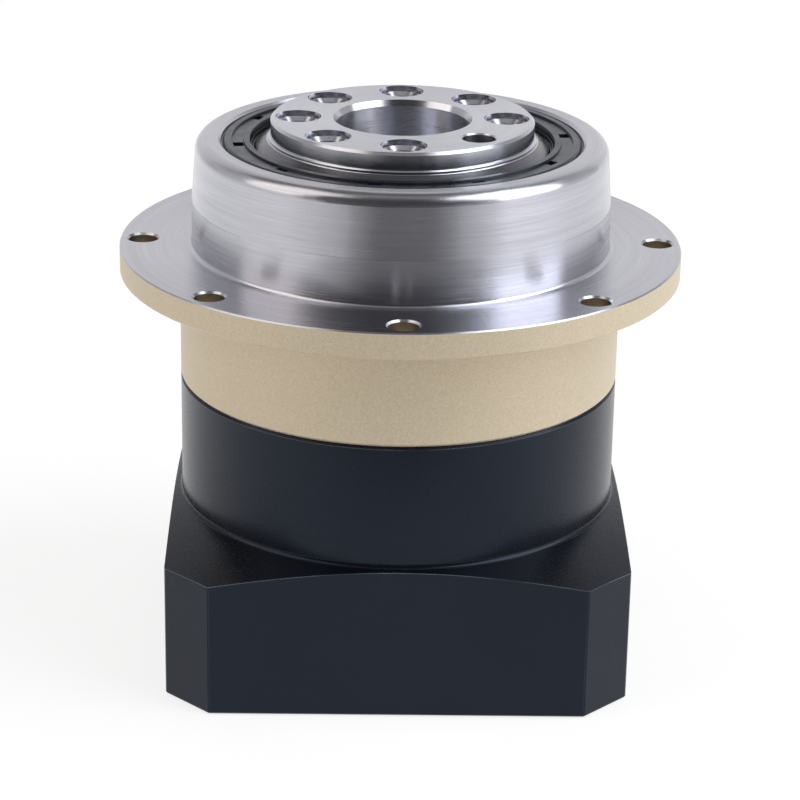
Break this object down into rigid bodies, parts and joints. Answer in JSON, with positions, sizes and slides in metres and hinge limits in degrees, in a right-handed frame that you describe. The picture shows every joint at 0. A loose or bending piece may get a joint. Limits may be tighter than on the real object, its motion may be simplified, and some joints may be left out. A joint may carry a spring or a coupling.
{
  "type": "planetary gearbox",
  "caption": "Coaxial helical planetary gearbox with a round mounting flange, a bolted flange output and a square motor adapter with a clamped input.",
  "frame": {"origin": "centre of the motor face, at the bottom of the adapter", "axes": "+Z along the output axis towards the output face, -Y towards the side seen in the picture"},
  "size_m": [0.086, 0.086, 0.0831],
  "materials": {
    "housing_steel": "champagne paint, nose and flange face left bare",
    "black_aluminium": "satin black anodised",
    "output_steel": "ground",
    "gear_steel": "ground",
    "bearing_steel": "polished",
    "spring_steel": "oiled",
    "cage_brass": "turned",
    "screw_steel": "black oxide",
    "seal_rubber": "matt",
    "plug_plastic": "matt"
  },
  "bodies": {
    "housing": {"ring_gear_housing": "housing_steel", "ring_gear": "gear_steel", "motor_adapter": "black_aluminium", "output_seal": "seal_rubber", "seal_spring": "spring_steel", "bearing_retaining_ring": "spring_steel", "front_bearing_outer_ring": "bearing_steel", "rear_bearing_outer_ring": "bearing_steel", "input_bearing_outer_ring": "bearing_steel", "input_retaining_ring": "spring_steel", "input_seal": "seal_rubber", "o_ring": "seal_rubber", "housing_screws": "screw_steel"},
    "output": {"output_carrier": "output_steel", "front_bearing_inner_ring": "bearing_steel", "rear_bearing_inner_ring": "bearing_steel", "carrier_retaining_ring": "spring_steel", "planet_pin_1": "bearing_steel", "planet_pin_2": "bearing_steel", "planet_pin_3": "bearing_steel", "thrust_washers": "cage_brass"},
    "front_cage": {"front_bearing_balls": "bearing_steel", "front_bearing_cage": "cage_brass"},
    "rear_cage": {"rear_bearing_balls": "bearing_steel", "rear_bearing_cage": "cage_brass"},
    "input": {"input_shaft": "output_steel", "sun_gear": "gear_steel", "clamp_collar": "output_steel", "clamp_screw": "screw_steel", "input_bearing_inner_ring": "bearing_steel", "shaft_retaining_ring": "spring_steel"},
    "input_cage": {"input_bearing_balls": "bearing_steel", "input_bearing_cage": "cage_brass"},
    "plug": {"access_plug": "plug_plastic"},
    "planet_1": {"planet_gear_1": "gear_steel"},
    "needles_1": {"planet_needles_1": "bearing_steel"},
    "planet_2": {"planet_gear_2": "gear_steel"},
    "needles_2": {"planet_needles_2": "bearing_steel"},
    "planet_3": {"planet_gear_3": "gear_steel"},
    "needles_3": {"planet_needles_3": "bearing_steel"}
  },
  "joints": [
    {"name": "output_spin", "type": "hinge", "parent": "housing", "child": "output", "pos_m": [0, 0, 0.06], "axis": [0, 0, 1], "continuous": true},
    {"name": "input_spin", "type": "hinge", "parent": "housing", "child": "input", "pos_m": [0, 0, 0.03], "axis": [0, 0, 1], "continuous": true},
    {"name": "front_cage_spin", "type": "hinge", "parent": "housing", "child": "front_cage", "pos_m": [0, 0, 0.0692], "axis": [0, 0, 1], "continuous": true},
    {"name": "rear_cage_spin", "type": "hinge", "parent": "housing", "child": "rear_cage", "pos_m": [0, 0, 0.0632], "axis": [0, 0, 1], "continuous": true},
    {"name": "input_cage_spin", "type": "hinge", "parent": "housing", "child": "input_cage", "pos_m": [0, 0, 0.0338], "axis": [0, 0, 1], "continuous": true},
    {"name": "planet_1_spin", "type": "hinge", "parent": "output", "child": "planet_1", "pos_m": [0.01575, 0, 0.0521], "axis": [0, 0, 1], "continuous": true},
    {"name": "needles_1_spin", "type": "hinge", "parent": "output", "child": "needles_1", "pos_m": [0.01575, 0, 0.0521], "axis": [0, 0, 1], "continuous": true},
    {"name": "planet_2_spin", "type": "hinge", "parent": "output", "child": "planet_2", "pos_m": [-0.00788, 0.01364, 0.0521], "axis": [0, 0, 1], "continuous": true},
    {"name": "needles_2_spin", "type": "hinge", "parent": "output", "child": "needles_2", "pos_m": [-0.00788, 0.01364, 0.0521], "axis": [0, 0, 1], "continuous": true},
    {"name": "planet_3_spin", "type": "hinge", "parent": "output", "child": "planet_3", "pos_m": [-0.00788, -0.01364, 0.0521], "axis": [0, 0, 1], "continuous": true},
    {"name": "needles_3_spin", "type": "hinge", "parent": "output", "child": "needles_3", "pos_m": [-0.00788, -0.01364, 0.0521], "axis": [0, 0, 1], "continuous": true},
    {"name": "plug_pull", "type": "slide", "parent": "housing", "child": "plug", "axis": [0, 1, 0], "range_m": [0, 0.02]}
  ],
  "couplings": [
    {"joint": "input_spin", "follows": "output_spin", "ratio": 5},
    {"joint": "front_cage_spin", "follows": "output_spin", "ratio": 0.47},
    {"joint": "rear_cage_spin", "follows": "output_spin", "ratio": 0.47},
    {"joint": "input_cage_spin", "follows": "output_spin", "ratio": 2.1635},
    {"joint": "planet_1_spin", "follows": "output_spin", "ratio": -2.6667},
    {"joint": "needles_1_spin", "follows": "output_spin", "ratio": -1.6296},
    {"joint": "planet_2_spin", "follows": "output_spin", "ratio": -2.6667},
    {"joint": "needles_2_spin", "follows": "output_spin", "ratio": -1.6296},
    {"joint": "planet_3_spin", "follows": "output_spin", "ratio": -2.6667},
    {"joint": "needles_3_spin", "follows": "output_spin", "ratio": -1.6296}
  ]
}
